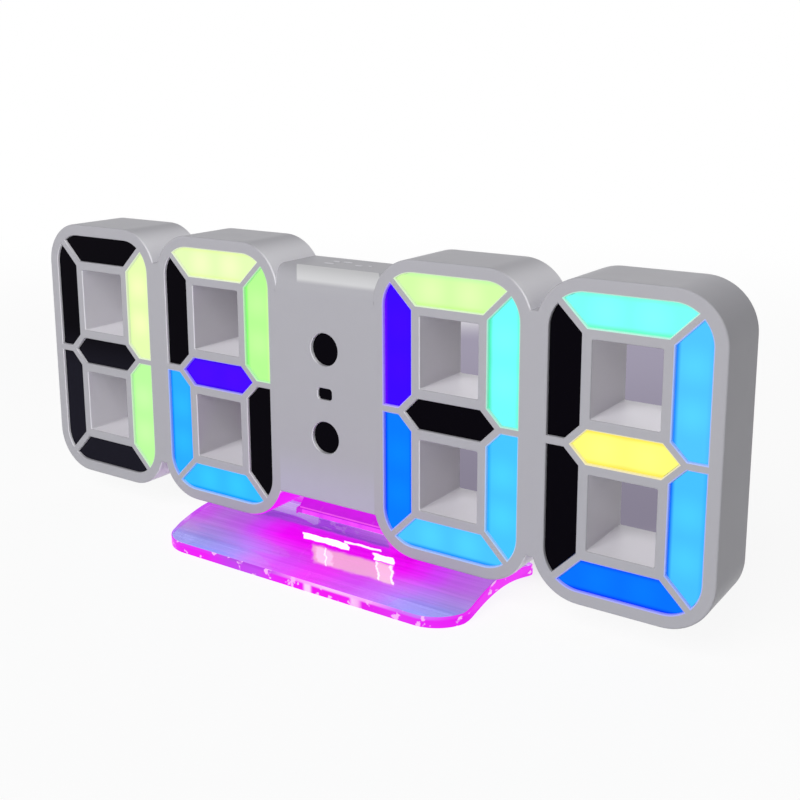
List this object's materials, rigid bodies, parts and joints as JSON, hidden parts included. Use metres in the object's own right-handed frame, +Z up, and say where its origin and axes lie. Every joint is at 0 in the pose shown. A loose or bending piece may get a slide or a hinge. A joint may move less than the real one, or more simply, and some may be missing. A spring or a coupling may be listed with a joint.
{
  "type": "led desk clock",
  "caption": "Digital desk clock with open figure-of-eight digits in a white shell, colon panel and clear arched stand lit by a night light.",
  "frame": {"origin": "on the table, under the middle of the stand", "axes": "+X to the right as the display is read, +Y from the front to the back, +Z up"},
  "size_m": [0.215, 0.043, 0.087],
  "materials": {
    "white_plastic": "satin moulded",
    "inner_plastic": "matt moulded",
    "smoked_plastic": "smoked, polished",
    "black_plastic": "fine matt",
    "circuit_board": "lacquered glass-fibre board",
    "steel": "plated",
    "clear_acrylic": "clear, polished, edge lit in magenta",
    "light_bar": "frosted, lit"
  },
  "bodies": {
    "clock": {"front_shell": "white_plastic", "rear_cover": "white_plastic", "lens_hour_tens": "smoked_plastic", "lens_hour_units": "smoked_plastic", "lens_minute_tens": "smoked_plastic", "lens_minute_units": "smoked_plastic", "baffle_hour_tens": "inner_plastic", "baffle_hour_units": "inner_plastic", "baffle_minute_tens": "inner_plastic", "baffle_minute_units": "inner_plastic", "main_board": "circuit_board", "colon_lens_lower": "smoked_plastic", "colon_lens_upper": "smoked_plastic", "colon_baffle": "inner_plastic", "sensor_window": "smoked_plastic", "ir_receiver": "black_plastic", "switch_body_set": "black_plastic", "switch_body_down": "black_plastic", "switch_body_up": "black_plastic", "coin_cell": "steel", "cell_holder": "black_plastic", "cell_contact": "steel", "power_socket": "steel", "socket_insert": "black_plastic", "buzzer": "black_plastic", "controller_chip": "black_plastic", "timing_crystal": "steel", "cover_screw_1": "steel", "cover_screw_2": "steel", "cover_screw_3": "steel", "cover_screw_4": "steel", "cover_screw_5": "steel", "cover_screw_6": "steel", "cover_screw_7": "steel", "cover_screw_8": "steel", "cover_screw_9": "steel", "cover_screw_10": "steel", "board_screw_1": "steel", "board_screw_2": "steel", "board_screw_3": "steel", "board_screw_4": "steel", "night_board": "circuit_board", "light_header": "black_plastic", "light_bar": "light_bar", "stand": "clear_acrylic"},
    "set_button": {"button_set": "white_plastic", "switch_plunger_set": "black_plastic"},
    "down_button": {"button_down": "white_plastic", "switch_plunger_down": "black_plastic"},
    "up_button": {"button_up": "white_plastic", "switch_plunger_up": "black_plastic"},
    "battery_door": {"cell_door": "white_plastic"}
  },
  "joints": [
    {"name": "set_press", "type": "slide", "parent": "clock", "child": "set_button", "axis": [0, -1, 0], "range_m": [0, 0.0006], "stiffness_N_per_m": 1000},
    {"name": "down_press", "type": "slide", "parent": "clock", "child": "down_button", "axis": [0, -1, 0], "range_m": [0, 0.0006], "stiffness_N_per_m": 1000},
    {"name": "up_press", "type": "slide", "parent": "clock", "child": "up_button", "axis": [0, -1, 0], "range_m": [0, 0.0006], "stiffness_N_per_m": 1000},
    {"name": "door_twist", "type": "hinge", "parent": "clock", "child": "battery_door", "pos_m": [0, 0.0137, 0.0545], "axis": [0, 1, 0], "range_deg": [0, 60]}
  ]
}
